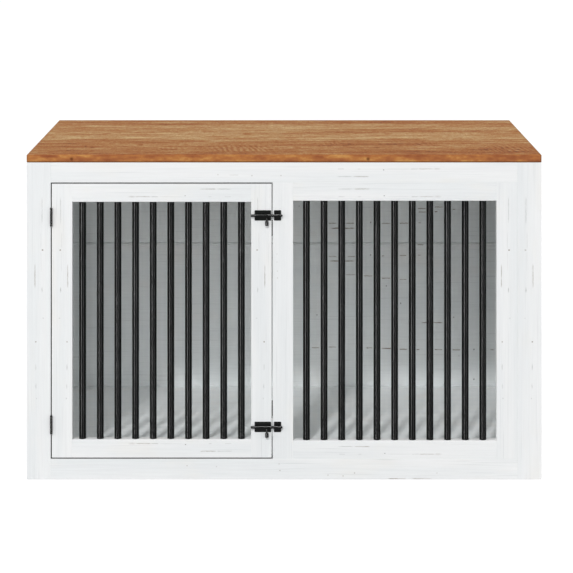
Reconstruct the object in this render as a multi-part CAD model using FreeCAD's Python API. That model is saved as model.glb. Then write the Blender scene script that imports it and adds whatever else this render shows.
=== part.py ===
"""Dog crate end table: a white wooden cabinet with black bars, a brown top and one hinged door.

Millimetres, +X to the right, +Z up, the front faces -Y. The origin is at the centre of the
bounding box's bottom face. Every piece is a closed solid of its own in parts/NAME.step.
"""
import FreeCAD, Part
import os
from collections import defaultdict

V = FreeCAD.Vector

# ---- driving dimensions: the carcass ----
WIDTH = 1110.0
DEPTH = 600.0
HEIGHT = 700.0
TOP_T = 17.0            # thickness of the brown top board
WOOD_T = 20.0           # thickness of posts, stiles, rails and the door
BACK_T = 15.0           # thickness of the two back boards
FLOOR_T = 15.0
FLOOR_TOP = 48.0        # height of the floor panel's upper face
BACK_JOINT_Z = 400.0    # height of the joint between the two back boards
BACK_JOINT_GAP = 1.0
BACK_CHAMFER = 2.8      # each board's half of the V groove at that joint
ARRIS = 0.5             # small chamfer on the edges of every wooden member
TOP_ARRIS = 1.2
FLOOR_PLAY = 1.0        # play all round the floor panel
CLEAT = 18.0            # side of the square battens under the floor panel

# ---- driving dimensions: the front frame ----
POST_W = 52.0
FRAME_RAIL_H = 43.3     # rail under the top board
FRAME_SILL_H = 44.4     # rail along the floor
CENTRE_STILE_X = (-24.5, 19.5)
PANEL_RAIL_H = 39.2     # rails of the fixed panel and of the door
PANEL_STILE_W = 45.0
DOOR_STILE_W = 44.0
DOOR_GAP = 2.4          # gap all round the door

# ---- driving dimensions: the side frames ----
SIDE_STILE_W = 45.0

# ---- driving dimensions: bars and wooden dowels ----
BAR_R = 7.5
BAR_WALL = 1.2          # wall of the steel tube that a bar is cut from
BAR_PITCH = 38.1
BAR_SEAT = 12.0         # depth of the blind hole that holds a bar's end
BAR_PLAY = 0.1          # radial play of a bar in its hole
BAR_END_GAP = 1.5       # room above a bar's upper end
DOWEL_R = 4.0
DOWEL_HALF = 18.0       # a dowel reaches this far into each piece
POST_DOWEL = 11.0       # a dowel in the back of a front post reaches only this far
FIT = 0.1               # radial play of dowels, screws and cams in their holes
RAIL_DOWELS = (0.27, 0.73)              # share of a frame rail's height at which its dowels sit
PANEL_RAIL_DOWELS = (0.25, 0.75)        # the same share of the wood outside the bars' seats
CENTRE_DOWEL = 11.0                     # from the centre stile's left edge to its end dowels
SIDE_DOWEL_Z = (("top_rail", (625.0, 665.0)), ("bottom_rail", (18.0, 58.0)))
POST_DOWEL_Z = (110.0, 300.0, 590.0)
PANEL_DOWEL_Z = (130.0, 341.2, 555.0)

# ---- driving dimensions: screws, cams and brackets ----
# screws: (length, shank radius, head radius)
CLEAT_SCREW = (30.0, 1.75, 3.6)
BRACKET_SCREW = (12.0, 1.75, 3.6)
BACK_SCREW = (38.0, 1.9, 4.0)
HINGE_SCREW = (13.0, 1.2, 2.1)
BOLT_SCREW = (14.0, 1.1, 1.9)
CATCH_SCREW = (26.0, 1.4, 2.8)
STRIKE_SCREW = (14.0, 1.1, 1.9)
CLEAT_SCREW_Y = (-180.0, 0.0, 180.0)
CLEAT_SCREW_X = (-400.0, -130.0, 130.0, 400.0)
BACK_SCREW_Z = (("back_upper_panel", (430.0, 540.0, 650.0)), ("back_lower_panel", (40.0, 205.0, 370.0)))
CAM_Z = (150.0, 345.0, 545.0)
CAM_R = 7.4
CAM_L = 12.0
CAM_SETBACK = 34.0                      # from a front post's back to a cam's axis
CAM_BOLT_THREAD_L = 12.0
CAM_BOLT_THREAD_R = 3.0
CAM_BOLT_NECK_R = 1.8
BRACKET_Y = (-150.0, 160.0)             # places along the side rails
BRACKET_X = (-260.0, 260.0)             # places along the front rail
BRACKET_LEG = 20.0
BRACKET_W = 15.0
BRACKET_T = 2.0
BRACKET_HOLE = 12.0                     # from a bracket's corner to its screws

# ---- driving dimensions: butt hinges ----
HINGE_L = 39.3
HINGE_REACH = 223.6     # from the door's middle height to a hinge's middle
KNUCKLE_R = 2.5
PIN_R = 1.3
PIN_PLAY = 0.05
KNUCKLES = 5
KNUCKLE_GAP = 0.2       # gap between knuckles along the pin
LEAF_T = 1.0
LEAF_D = 17.0           # how deep a leaf lies in the door's gap
LEAF_SCREW_Z = 12.0     # from a hinge's middle to its screws
LEAF_SCREW_Y = 10.5     # from the front face to its screws
PIN_CAP = 0.8

# ---- driving dimensions: barrel bolts ----
BOLT_Z = (569.2, 113.4)             # rod axis of the upper and the lower bolt
BOLT_PLATE_X = (-63.6, -28.0)
KEEPER_X = (-21.8, -6.5)
ROD_X = (-71.8, -3.4)
BOLT_H = 22.0
SHEET_T = 1.0                       # sheet of the bolt's plate and keeper
ROD_R = 2.7
ROD_PLAY = 0.3                      # radial play of the rod in its channel
BOLT_TRAVEL = 20.0
KNOB_X = -37.2
STEM_R = 1.6
KNOB_R = 3.6
KNOB_DROP = (12.0, 22.0)            # the knob's head begins and ends this far below the rod's axis
STEM_PLAY = 0.05                    # gap between the stem's foot and the rod
BOLT_SCREW_Z = 7.6                  # from the rod's axis to the screws beside it
BOLT_SCREW_INSET = 4.0

# ---- driving dimensions: magnetic catches ----
CATCH_REACH = 196.0     # from the door's middle height to a catch's middle
CATCH_L = 31.5
CATCH_D = 13.0
CATCH_X = (-37.0, -5.0)
CATCH_SCREW_Z = 9.0     # from a catch's middle to its screws
STRIKE_T = 1.0
STRIKE_PLAY = 0.2       # gap between the strike plate and the closed catch
STRIKE_LEG_T = 1.5      # the strike plate's leg on the door's edge, in the door's gap
STRIKE_LEG_INSET = 0.8  # from the front face to that leg

# ---- places that follow ----
ROD_STAND = SHEET_T + ROD_PLAY + ROD_R            # from the wood's front face to the rod's axis
HARDWARE_PROUD = 2 * ROD_STAND                    # what stands in front of the wood
FRONT = -(DEPTH - HARDWARE_PROUD) / 2
BACK = FRONT + DEPTH
FRAME_BACK = FRONT + WOOD_T
SIDE_BACK = BACK - BACK_T
X_OUT = WIDTH / 2
X_IN = X_OUT - WOOD_T
POST_IN = X_OUT - POST_W
BODY_TOP = HEIGHT - TOP_T
RAIL_Z = BODY_TOP - FRAME_RAIL_H
SILL_Z = FRAME_SILL_H
OPEN_TOP = RAIL_Z - PANEL_RAIL_H
OPEN_BOTTOM = SILL_Z + PANEL_RAIL_H
BAR_Y = FRONT + WOOD_T / 2

DOOR_X = (-POST_IN + DOOR_GAP, CENTRE_STILE_X[0] - DOOR_GAP)
DOOR_Z = (SILL_Z + DOOR_GAP, RAIL_Z - DOOR_GAP)
DOOR_MID = (DOOR_Z[0] + DOOR_Z[1]) / 2
DOOR_OPEN_X = (DOOR_X[0] + DOOR_STILE_W, DOOR_X[1] - DOOR_STILE_W)
DOOR_OPEN_Z = (DOOR_Z[0] + PANEL_RAIL_H, DOOR_Z[1] - PANEL_RAIL_H)
PANEL_X = (CENTRE_STILE_X[1], POST_IN - PANEL_STILE_W)

HINGE_Z = (DOOR_MID + HINGE_REACH, DOOR_MID - HINGE_REACH)
HINGE_X = -POST_IN + DOOR_GAP / 2
HINGE_Y = FRONT - KNUCKLE_R - 0.1
ROD_Y = FRONT - ROD_STAND
CATCH_Z = (DOOR_MID + CATCH_REACH, DOOR_MID - CATCH_REACH)
LEVELS = ("upper", "lower")


# ---- helpers: plain solids ----
def box(x, y, z):
    """A box from three (low, high) pairs."""
    return Part.makeBox(x[1] - x[0], y[1] - y[0], z[1] - z[0], V(x[0], y[0], z[0]))


def board(x, y, z, arris=ARRIS):
    """A wooden board with a small chamfer on every edge."""
    solid = box(x, y, z)
    return solid.makeChamfer(arris, solid.Edges)


def rod(start, direction, length, radius):
    return Part.makeCylinder(radius, length, V(*start), V(*direction))


def drilled(solid, holes):
    """The solid with the hole tools taken out of it."""
    if holes:
        solid = solid.cut(Part.makeCompound(holes))
    return solid.Solids[0]


def group(solids):
    return Part.makeCompound(solids)


# ---- helpers: dowels, screws and cams, each with the hole that it needs ----
def dowel(joint, direction):
    """A dowel centred on a joint, with its hole in the two pieces."""
    middle = V(*joint)
    way = V(*direction)
    start = middle - way * DOWEL_HALF
    mouth = middle - way * (DOWEL_HALF + 1)
    piece = rod(start, way, 2 * DOWEL_HALF, DOWEL_R)
    hole = rod(mouth, way, 2 * (DOWEL_HALF + 1), DOWEL_R + FIT)
    return piece, hole


def screw(head, direction, size):
    """A countersunk screw with a cross recess, and its hole. Its head lies flush at head."""
    length, shank_r, head_r = size
    point = V(*head)
    way = V(*direction)
    cone_h = head_r - shank_r

    def shape(grow, deeper):
        cone = Part.makeCone(head_r + grow, shank_r + grow, cone_h, point, way)
        shank = rod(point, way, length + deeper, shank_r + grow)
        return cone.fuse(shank).removeSplitter()

    piece = shape(0, 0)
    if abs(way.z) > 0.5:
        across, up = V(1, 0, 0), V(0, 1, 0)
    else:
        across, up = way.cross(V(0, 0, 1)), V(0, 0, 1)
    slot_half, slot_t, slot_d = 0.6 * head_r, 0.14 * head_r, 0.5 * cone_h
    for one, other in ((across, up), (up, across)):
        corners = (one * slot_half + other * slot_t, one * slot_half - other * slot_t,
                   one * -slot_half - other * slot_t, one * -slot_half + other * slot_t)
        loop = [point + corner for corner in corners]
        recess = Part.Face(Part.makePolygon(loop + loop[:1])).extrude(way * slot_d)
        piece = piece.cut(recess)
    return piece.Solids[0], shape(FIT, 1)


class Fasteners:
    """Collects pieces that share one node, and the holes that they need."""

    def __init__(self):
        self.pieces = []
        self.holes = []

    def add(self, pair):
        self.pieces.append(pair[0])
        self.holes.append(pair[1])


def bar_places(low, high):
    """Places of as many bars as fit between two stiles, centred between them."""
    count = int((high - low) / BAR_PITCH)
    first = (low + high) / 2 - BAR_PITCH * (count - 1) / 2
    return [first + BAR_PITCH * i for i in range(count)]


def bars(places, low, high):
    """Round tubes standing in blind holes, and the holes. A place is an (x, y) pair."""
    bottom, top = low - BAR_SEAT, high + BAR_SEAT
    pieces, holes = [], []
    for x, y in places:
        tube = rod((x, y, bottom), (0, 0, 1), top - bottom - BAR_END_GAP, BAR_R)
        pieces.append(tube.cut(rod((x, y, bottom), (0, 0, 1), top - bottom, BAR_R - BAR_WALL)))
        holes.append(rod((x, y, bottom), (0, 0, 1), top - bottom, BAR_R + BAR_PLAY))
    return pieces, holes


# ---- the front frame and the fixed panel ----
def front_frame(parts, holes):
    y = (FRONT, FRAME_BACK)
    inner = (SILL_Z, RAIL_Z)
    parts["front_left_post"] = board((-X_OUT, -POST_IN), y, (0, BODY_TOP))
    parts["front_right_post"] = board((POST_IN, X_OUT), y, (0, BODY_TOP))
    parts["front_top_rail"] = board((-POST_IN, POST_IN), y, (RAIL_Z, BODY_TOP))
    parts["front_bottom_rail"] = board((-POST_IN, POST_IN), y, (0, SILL_Z))
    parts["centre_stile"] = board(CENTRE_STILE_X, y, inner)
    parts["fixed_panel_top_rail"] = board(PANEL_X, y, (OPEN_TOP, RAIL_Z))
    parts["fixed_panel_bottom_rail"] = board(PANEL_X, y, (SILL_Z, OPEN_BOTTOM))
    parts["fixed_panel_right_stile"] = board((PANEL_X[1], POST_IN), y, inner)

    places = [(x, BAR_Y) for x in bar_places(*PANEL_X)]
    pieces, seats = bars(places, OPEN_BOTTOM, OPEN_TOP)
    parts["fixed_panel_bars"] = group(pieces)
    for name in ("fixed_panel_top_rail", "fixed_panel_bottom_rail"):
        holes[name] += seats


def frame_dowels(holes):
    """Dowels of the front frame, the fixed panel and the two side frames."""
    dowels = Fasteners()

    def join(names, joint, direction):
        dowels.add(dowel(joint, direction))
        for name in names:
            holes[name].append(dowels.holes[-1])

    along_x, along_y, along_z = (1, 0, 0), (0, 1, 0), (0, 0, 1)
    for post, x in (("front_left_post", -POST_IN), ("front_right_post", POST_IN)):
        for part in RAIL_DOWELS:
            join((post, "front_top_rail"), (x, BAR_Y, RAIL_Z + part * FRAME_RAIL_H), along_x)
            join((post, "front_bottom_rail"), (x, BAR_Y, part * FRAME_SILL_H), along_x)
    stile_x = CENTRE_STILE_X[0] + CENTRE_DOWEL
    join(("centre_stile", "front_top_rail"), (stile_x, BAR_Y, RAIL_Z), along_z)
    join(("centre_stile", "front_bottom_rail"), (stile_x, BAR_Y, SILL_Z), along_z)
    panel_rails = (("fixed_panel_top_rail", OPEN_TOP + BAR_SEAT), ("fixed_panel_bottom_rail", SILL_Z))
    for rail, low in panel_rails:
        for part in PANEL_RAIL_DOWELS:
            z = low + part * (PANEL_RAIL_H - BAR_SEAT)
            join((rail, "centre_stile"), (PANEL_X[0], BAR_Y, z), along_x)
            join((rail, "fixed_panel_right_stile"), (PANEL_X[1], BAR_Y, z), along_x)
    for z in PANEL_DOWEL_Z:
        join(("fixed_panel_right_stile", "front_right_post"), (POST_IN, BAR_Y, z), along_x)

    for side, sign in (("left", -1), ("right", 1)):
        x = sign * (X_OUT - WOOD_T / 2)
        stiles = (("front_stile", FRAME_BACK + SIDE_STILE_W), ("rear_stile", SIDE_BACK - SIDE_STILE_W))
        for stile, y in stiles:
            for rail, heights in SIDE_DOWEL_Z:
                for z in heights:
                    join((f"{side}_side_{stile}", f"{side}_side_{rail}"), (x, y, z), along_y)
        for z in POST_DOWEL_Z:
            place = (x, FRAME_BACK + DOWEL_HALF - POST_DOWEL, z)
            join((f"front_{side}_post", f"{side}_side_front_stile"), place, along_y)
    return dowels.pieces


# ---- the side frames ----
def side_frame(side, sign, parts, holes):
    x = tuple(sorted((sign * X_OUT, sign * X_IN)))
    front = (FRAME_BACK, FRAME_BACK + SIDE_STILE_W)
    rear = (SIDE_BACK - SIDE_STILE_W, SIDE_BACK)
    between = (front[1], rear[0])
    names = [f"{side}_side_{part}" for part in ("front_stile", "rear_stile", "top_rail", "bottom_rail")]
    parts[names[0]] = board(x, front, (0, BODY_TOP))
    parts[names[1]] = board(x, rear, (0, BODY_TOP))
    parts[names[2]] = board(x, between, (OPEN_TOP, BODY_TOP))
    parts[names[3]] = board(x, between, (0, OPEN_BOTTOM))
    middle = (x[0] + x[1]) / 2
    places = [(middle, y) for y in bar_places(*between)]
    pieces, seats = bars(places, OPEN_BOTTOM, OPEN_TOP)
    parts[f"{side}_side_bars"] = group(pieces)
    for name in names[2:]:
        holes[name] += seats


def cams(holes):
    """Cam bolts in the front posts' backs, drawn tight by round cams in the side frames."""
    bolts, locks = [], []
    cam_y = FRAME_BACK + CAM_SETBACK
    start_y = FRAME_BACK - CAM_BOLT_THREAD_L
    neck_y = cam_y - 5
    along = (0, 1, 0)
    for side, sign in (("left", -1), ("right", 1)):
        x = sign * (X_OUT - WOOD_T / 2)
        inwards = (sign, 0, 0)
        mouth_x = sign * (X_IN - 1)
        for z in CAM_Z:
            bolt = rod((x, start_y, z), along, neck_y - start_y, CAM_BOLT_THREAD_R)
            bolt = bolt.fuse(rod((x, neck_y, z), along, 4, CAM_BOLT_NECK_R))
            bolt = bolt.fuse(rod((x, neck_y + 4, z), along, 3, CAM_BOLT_THREAD_R))
            bolts.append(bolt.removeSplitter().Solids[0])
            bore = rod((x, start_y - 0.5, z), along, cam_y + 3 - start_y, CAM_BOLT_THREAD_R + FIT)
            cam = rod((sign * X_IN, cam_y, z), inwards, CAM_L, CAM_R)
            slot = rod((mouth_x, cam_y, z), inwards, 3.5, 2.2)
            locks.append(drilled(cam, [bore, slot]))
            seat = rod((mouth_x, cam_y, z), inwards, CAM_L + 1.5, CAM_R + FIT)
            holes[f"front_{side}_post"].append(bore)
            holes[f"{side}_side_front_stile"] += [bore, seat]
    return bolts, locks


# ---- top, back and floor ----
def carcass_panels(parts):
    parts["top_board"] = board((-X_OUT, X_OUT), (FRONT, BACK), (BODY_TOP, HEIGHT), TOP_ARRIS)
    half = BACK_JOINT_GAP / 2
    for name, z, joint in (("back_lower_panel", (0, BACK_JOINT_Z - half), 1),
                           ("back_upper_panel", (BACK_JOINT_Z + half, BODY_TOP), 0)):
        panel = box((-X_OUT, X_OUT), (SIDE_BACK, BACK), z)
        groove = [edge for edge in panel.Edges
                  if edge.BoundBox.ZLength < 1 and edge.BoundBox.YLength < 1
                  and abs(edge.CenterOfMass.z - z[joint]) < 1 and abs(edge.CenterOfMass.y - SIDE_BACK) < 1]
        parts[name] = panel.makeChamfer(BACK_CHAMFER, groove)
    floor_x = (-X_IN + FLOOR_PLAY, X_IN - FLOOR_PLAY)
    floor_y = (FRAME_BACK + FLOOR_PLAY, SIDE_BACK - FLOOR_PLAY)
    parts["floor_panel"] = board(floor_x, floor_y, (FLOOR_TOP - FLOOR_T, FLOOR_TOP))


def cleats(parts, holes, fasteners):
    """Square battens under the floor, screwed to the rails and to the lower back board."""
    z = (FLOOR_TOP - FLOOR_T - CLEAT, FLOOR_TOP - FLOOR_T)
    middle = (z[0] + z[1]) / 2
    side, long_ones = [], []
    for name, sign in (("left_side", -1), ("right_side", 1)):
        face = sign * (X_IN - CLEAT)
        x = tuple(sorted((sign * X_IN, face)))
        cleat = board(x, (FRAME_BACK + CLEAT + 2, SIDE_BACK - CLEAT - 2), z)
        added = []
        for y in CLEAT_SCREW_Y:
            fasteners.add(screw((face, y, middle), (sign, 0, 0), CLEAT_SCREW))
            added.append(fasteners.holes[-1])
        side.append(drilled(cleat, added))
        holes[f"{name}_bottom_rail"] += added
    for name, wall, way in (("front_bottom_rail", FRAME_BACK, -1), ("back_lower_panel", SIDE_BACK, 1)):
        face = wall - way * CLEAT
        cleat = board((-X_IN + 2, X_IN - 2), tuple(sorted((wall, face))), z)
        added = []
        for x in CLEAT_SCREW_X:
            fasteners.add(screw((x, face, middle), (0, way, 0), CLEAT_SCREW))
            added.append(fasteners.holes[-1])
        long_ones.append(drilled(cleat, added))
        holes[name] += added
    parts["floor_side_cleats"] = group(side)
    parts["floor_long_cleats"] = group(long_ones)


def top_brackets(holes, fasteners):
    """Angle brackets that hold the top board down on the side and front rails."""
    brackets = []
    rows = [(f"{side}_side_top_rail", (sign * X_IN, y), (sign, 0))
            for side, sign in (("left", -1), ("right", 1)) for y in BRACKET_Y]
    rows += [("front_top_rail", (x, FRAME_BACK), (0, -1)) for x in BRACKET_X]
    for rail, (x, y), (wx, wy) in rows:
        way = V(wx, wy, 0)
        across = V(-wy, wx, 0)
        corner = V(x, y, BODY_TOP)
        out, thick = way * -BRACKET_LEG, way * -BRACKET_T
        down, thin = V(0, 0, -BRACKET_LEG), V(0, 0, -BRACKET_T)
        outline = [V(0, 0, 0), down, thick + down, thick + thin, out + thin, out]
        loop = [corner + point - across * (BRACKET_W / 2) for point in outline]
        angle = Part.Face(Part.makePolygon(loop + loop[:1])).extrude(across * BRACKET_W)
        into_rail = corner + thick - V(0, 0, BRACKET_HOLE)
        into_top = corner + thin - way * BRACKET_HOLE
        fasteners.add(screw(into_rail, way, BRACKET_SCREW))
        holes[rail].append(fasteners.holes[-1])
        fasteners.add(screw(into_top, V(0, 0, 1), BRACKET_SCREW))
        holes["top_board"].append(fasteners.holes[-1])
        brackets.append(drilled(angle, fasteners.holes[-2:]))
    return brackets


def back_screws(holes):
    """Screws through the back boards into the rear stiles."""
    screws = Fasteners()
    for side, sign in (("left", -1), ("right", 1)):
        for panel, heights in BACK_SCREW_Z:
            for z in heights:
                place = (sign * (X_OUT - WOOD_T / 2), BACK, z)
                screws.add(screw(place, (0, -1, 0), BACK_SCREW))
                holes[panel].append(screws.holes[-1])
                holes[f"{side}_side_rear_stile"].append(screws.holes[-1])
    return screws.pieces


# ---- the door ----
def door(parts, holes):
    y = (FRONT, FRAME_BACK)
    hinge_stile = (DOOR_X[0], DOOR_OPEN_X[0])
    latch_stile = (DOOR_OPEN_X[1], DOOR_X[1])
    parts["door_hinge_stile"] = board(hinge_stile, y, DOOR_Z)
    parts["door_latch_stile"] = board(latch_stile, y, DOOR_Z)
    parts["door_top_rail"] = board(DOOR_OPEN_X, y, (DOOR_OPEN_Z[1], DOOR_Z[1]))
    parts["door_bottom_rail"] = board(DOOR_OPEN_X, y, (DOOR_Z[0], DOOR_OPEN_Z[0]))
    places = [(x, BAR_Y) for x in bar_places(*DOOR_OPEN_X)]
    pieces, seats = bars(places, *DOOR_OPEN_Z)
    parts["door_bars"] = group(pieces)
    for name in ("door_top_rail", "door_bottom_rail"):
        holes[name] += seats

    dowels = Fasteners()
    spread = PANEL_RAIL_H - BAR_SEAT
    rails = (("door_top_rail", DOOR_OPEN_Z[1] + BAR_SEAT), ("door_bottom_rail", DOOR_Z[0]))
    stiles = (("door_hinge_stile", DOOR_OPEN_X[0]), ("door_latch_stile", DOOR_OPEN_X[1]))
    for rail, low in rails:
        for stile, x in stiles:
            for part in PANEL_RAIL_DOWELS:
                dowels.add(dowel((x, BAR_Y, low + part * spread), (1, 0, 0)))
                holes[rail].append(dowels.holes[-1])
                holes[stile].append(dowels.holes[-1])
    parts["door_dowels"] = group(dowels.pieces)


# ---- butt hinges in the gap on the door's left ----
def hinge_leaf(sign, middle, own):
    """One leaf. sign is -1 for the leaf on the post and 1 for the door's, own its knuckles."""
    bottom = middle - HINGE_L / 2
    step = HINGE_L / KNUCKLES
    inner = HINGE_X + sign * (DOOR_GAP / 2 - LEAF_T)
    outer = HINGE_X + sign * DOOR_GAP / 2
    x = tuple(sorted((inner, outer)))
    clear = HINGE_Y + KNUCKLE_R + 0.3
    end = FRONT + LEAF_D
    leaf = box(x, (clear, end), (bottom, bottom + HINGE_L))
    for i in own:
        z = (bottom + step * i + KNUCKLE_GAP / 2, bottom + step * (i + 1) - KNUCKLE_GAP / 2)
        leaf = leaf.fuse(box(x, (HINGE_Y + 1.5, clear + 1), z))
        leaf = leaf.fuse(rod((HINGE_X, HINGE_Y, z[0]), (0, 0, 1), z[1] - z[0], KNUCKLE_R))
    bore = rod((HINGE_X, HINGE_Y, bottom - 1), (0, 0, 1), HINGE_L + 2, PIN_R + PIN_PLAY)
    return leaf.cut(bore).removeSplitter().Solids[0]


def hinges(parts, holes):
    pins, on_post, on_door = [], Fasteners(), Fasteners()
    for level, middle in zip(LEVELS, HINGE_Z):
        frame_leaf = hinge_leaf(-1, middle, range(0, KNUCKLES, 2))
        door_leaf = hinge_leaf(1, middle, range(1, KNUCKLES, 2))
        for dz in (-LEAF_SCREW_Z, LEAF_SCREW_Z):
            y = FRONT + LEAF_SCREW_Y
            post_face = (HINGE_X - DOOR_GAP / 2 + LEAF_T, y, middle + dz)
            door_face = (HINGE_X + DOOR_GAP / 2 - LEAF_T, y, middle + dz)
            on_post.add(screw(post_face, (-1, 0, 0), HINGE_SCREW))
            on_door.add(screw(door_face, (1, 0, 0), HINGE_SCREW))
        parts[f"{level}_hinge_frame_leaf"] = drilled(frame_leaf, on_post.holes[-2:])
        parts[f"{level}_hinge_door_leaf"] = drilled(door_leaf, on_door.holes[-2:])
        low = middle - HINGE_L / 2
        pin = rod((HINGE_X, HINGE_Y, low), (0, 0, 1), HINGE_L, PIN_R)
        for end, way in ((low, -1), (low + HINGE_L, 1)):
            pin = pin.fuse(Part.makeCone(1.9, 1.2, PIN_CAP, V(HINGE_X, HINGE_Y, end), V(0, 0, way)))
        pins.append(pin.removeSplitter().Solids[0])
    holes["front_left_post"] += on_post.holes
    holes["door_hinge_stile"] += on_door.holes
    parts["hinge_pins"] = group(pins)
    parts["hinge_frame_screws"] = group(on_post.pieces)
    parts["hinge_door_screws"] = group(on_door.pieces)


# ---- barrel bolts on the door's right stile ----
def channel_plate(x, axis_z):
    """A flat plate with a round channel for the rod along its middle."""
    inner, outer = ROD_R + ROD_PLAY, ROD_STAND
    length = x[1] - x[0]
    flat = box(x, (FRONT - SHEET_T, FRONT), (axis_z - BOLT_H / 2, axis_z + BOLT_H / 2))
    rounds = [edge for edge in flat.Edges if edge.BoundBox.YLength > SHEET_T - 0.1
              and edge.BoundBox.XLength < 0.1 and edge.BoundBox.ZLength < 0.1]
    flat = flat.makeFillet(1.5, rounds)
    hump = rod((x[0], ROD_Y, axis_z), (1, 0, 0), length, outer)
    hump = hump.fuse(box(x, (ROD_Y, FRONT), (axis_z - outer, axis_z + outer)))
    hump = hump.common(box(x, (ROD_Y - outer, FRONT), (axis_z - outer, axis_z + outer)))
    tunnel = rod((x[0] - 1, ROD_Y, axis_z), (1, 0, 0), length + 2, inner)
    wide = (x[0] - 1, x[1] + 1)
    tunnel = tunnel.fuse(box(wide, (ROD_Y, FRONT - SHEET_T), (axis_z - inner, axis_z + inner)))
    return flat.fuse(hump).cut(tunnel).removeSplitter()


def bolt_rod(axis_z):
    """The sliding rod: a rounded tip on the right and a small chamfer on the left."""
    tip_l, tip_r, chamfer = 2.4, 1.2, 0.7
    straight = ROD_X[1] - tip_l - ROD_X[0] - chamfer
    body = rod((ROD_X[0] + chamfer, ROD_Y, axis_z), (1, 0, 0), straight, ROD_R)
    tip = Part.makeCone(ROD_R, tip_r, tip_l, V(ROD_X[1] - tip_l, ROD_Y, axis_z), V(1, 0, 0))
    tail = Part.makeCone(ROD_R - chamfer, ROD_R, chamfer, V(ROD_X[0], ROD_Y, axis_z), V(1, 0, 0))
    return body.fuse(tip).fuse(tail).removeSplitter().Solids[0]


def bolt_knob(axis_z):
    """The knob hangs below the rod: a thin stem that hugs the rod and a round head."""
    down = V(0, 0, -1)
    stem = rod((KNOB_X, ROD_Y, axis_z), down, KNOB_DROP[0] + 1, STEM_R)
    head_l = KNOB_DROP[1] - KNOB_DROP[0]
    head = rod((KNOB_X, ROD_Y, axis_z - KNOB_DROP[0]), down, head_l, KNOB_R)
    rims = [edge for edge in head.Edges if edge.Closed]
    head = head.makeFillet(0.9, rims)
    knob = stem.fuse(head)
    around_rod = rod((KNOB_X - 5, ROD_Y, axis_z), (1, 0, 0), 10, ROD_R + STEM_PLAY)
    return knob.cut(around_rod).removeSplitter().Solids[0]


def barrel_bolts(parts, holes):
    plate_screws, keeper_screws = Fasteners(), Fasteners()
    face = FRONT - SHEET_T
    for level, axis_z in zip(LEVELS, BOLT_Z):
        # the window leaves the stem room to slide and to turn up from hanging to straight forward
        window_x = (KNOB_X - BOLT_TRAVEL - STEM_R - 0.5, KNOB_X + STEM_R + 0.5)
        reach = ROD_STAND + 1
        window_y = (ROD_Y - reach, ROD_Y + STEM_R + 0.3)
        window = box(window_x, window_y, (axis_z - reach, axis_z + STEM_R + 0.5))
        plate = channel_plate(BOLT_PLATE_X, axis_z).cut(window)
        keeper = channel_plate(KEEPER_X, axis_z)
        start = len(plate_screws.pieces)
        for x in (BOLT_PLATE_X[0] + BOLT_SCREW_INSET, BOLT_PLATE_X[1] - BOLT_SCREW_INSET):
            for dz in (-BOLT_SCREW_Z, BOLT_SCREW_Z):
                plate_screws.add(screw((x, face, axis_z + dz), (0, 1, 0), BOLT_SCREW))
        parts[f"{level}_bolt_plate"] = drilled(plate, plate_screws.holes[start:])
        middle = (KEEPER_X[0] + KEEPER_X[1]) / 2
        for dz in (-BOLT_SCREW_Z, BOLT_SCREW_Z):
            keeper_screws.add(screw((middle, face, axis_z + dz), (0, 1, 0), BOLT_SCREW))
        parts[f"{level}_bolt_keeper"] = drilled(keeper, keeper_screws.holes[-2:])
        parts[f"{level}_bolt_rod"] = bolt_rod(axis_z)
        parts[f"{level}_bolt_knob"] = bolt_knob(axis_z)
    holes["door_latch_stile"] += plate_screws.holes
    holes["centre_stile"] += keeper_screws.holes
    parts["bolt_plate_screws"] = group(plate_screws.pieces)
    parts["keeper_screws"] = group(keeper_screws.pieces)


# ---- magnetic catches behind the centre stile, and their strike plates on the door ----
def catches(parts, holes):
    """Each strike plate is an angle: its leg runs forward on the door's edge, in the gap."""
    catch_screws, strike_screws, plates = Fasteners(), Fasteners(), []
    step_y = FRAME_BACK + STRIKE_T + STRIKE_PLAY
    stile_x, door_x = CENTRE_STILE_X[0], DOOR_X[1]
    leg_x = (door_x, door_x + STRIKE_LEG_T)
    leg_y = (FRONT + STRIKE_LEG_INSET, FRAME_BACK + STRIKE_T)
    for level, middle in zip(LEVELS, CATCH_Z):
        z = (middle - CATCH_L / 2, middle + CATCH_L / 2)
        body = board(CATCH_X, (FRAME_BACK, FRAME_BACK + CATCH_D), z)
        behind_door = box((CATCH_X[0] - 1, stile_x - 0.4), (FRAME_BACK - 1, step_y), (z[0] - 1, z[1] + 1))
        for dz in (-CATCH_SCREW_Z, CATCH_SCREW_Z):
            head = (stile_x + 13, FRAME_BACK + CATCH_D, middle + dz)
            catch_screws.add(screw(head, (0, -1, 0), CATCH_SCREW))
        parts[f"{level}_catch"] = drilled(body, [behind_door] + catch_screws.holes[-2:])
        plate_z = (z[0] + 1.5, z[1] - 1.5)
        plate = box((CATCH_X[0] + 0.5, leg_x[1]), (FRAME_BACK, FRAME_BACK + STRIKE_T), plate_z)
        plate = plate.fuse(box(leg_x, leg_y, plate_z)).removeSplitter()
        head = (CATCH_X[0] + 4.8, FRAME_BACK + STRIKE_T, middle)
        strike_screws.add(screw(head, (0, -1, 0), STRIKE_SCREW))
        plates.append(drilled(plate, strike_screws.holes[-1:]))
    holes["centre_stile"] += catch_screws.holes
    holes["door_latch_stile"] += strike_screws.holes
    parts["catch_screws"] = group(catch_screws.pieces)
    parts["strike_screws"] = group(strike_screws.pieces)
    parts["catch_strike_plates"] = group(plates)


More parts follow.
